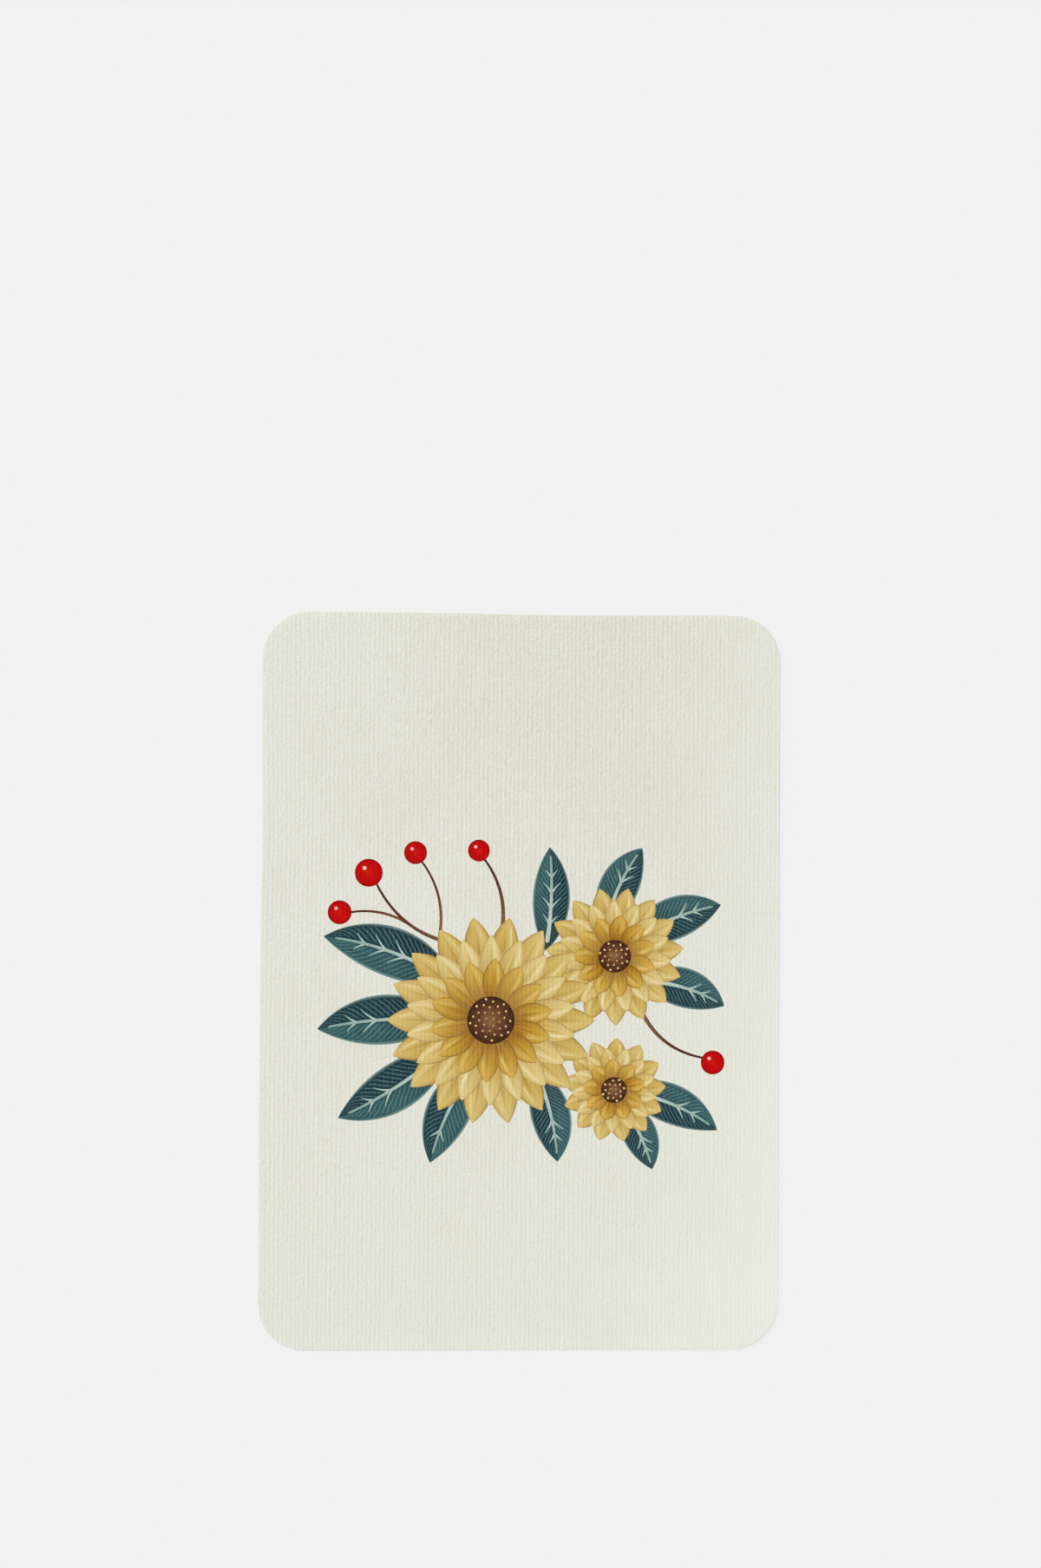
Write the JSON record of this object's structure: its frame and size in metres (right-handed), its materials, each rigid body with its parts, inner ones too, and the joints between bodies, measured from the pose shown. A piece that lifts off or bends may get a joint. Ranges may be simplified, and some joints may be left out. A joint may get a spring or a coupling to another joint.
{
  "type": "notecard",
  "caption": "Fold-over notecard of cream laid card with rounded corners and a flower spray printed on the front leaf; it opens flat like a book on its left fold.",
  "frame": {"origin": "middle of the back leaf's outer face, which the closed card lies on", "axes": "+X to the right of the printed face, away from the fold; +Y to the top of the card; +Z out of the printed face"},
  "size_m": [0.105, 0.1484, 0.0011],
  "materials": {
    "laid_card": "uncoated cream laid card with fine vertical ribs",
    "gold_ink": "matt printing ink",
    "straw_ink": "matt printing ink",
    "amber_ink": "matt printing ink",
    "teal_ink": "matt printing ink",
    "sage_ink": "matt printing ink",
    "red_ink": "matt printing ink",
    "brown_ink": "matt printing ink"
  },
  "bodies": {
    "back": {"back_leaf": "laid_card", "back_crease": "laid_card"},
    "front": {"front_leaf": "laid_card", "front_crease": "laid_card", "gold_ink": "gold_ink", "straw_ink": "straw_ink", "amber_ink": "amber_ink", "teal_ink": "teal_ink", "sage_ink": "sage_ink", "red_ink": "red_ink", "brown_ink": "brown_ink"}
  },
  "joints": [
    {"name": "fold_open", "type": "hinge", "parent": "back", "child": "front", "pos_m": [-0.05253, 0, 0.00055], "axis": [0, -1, 0], "range_deg": [0, 179.9]}
  ]
}
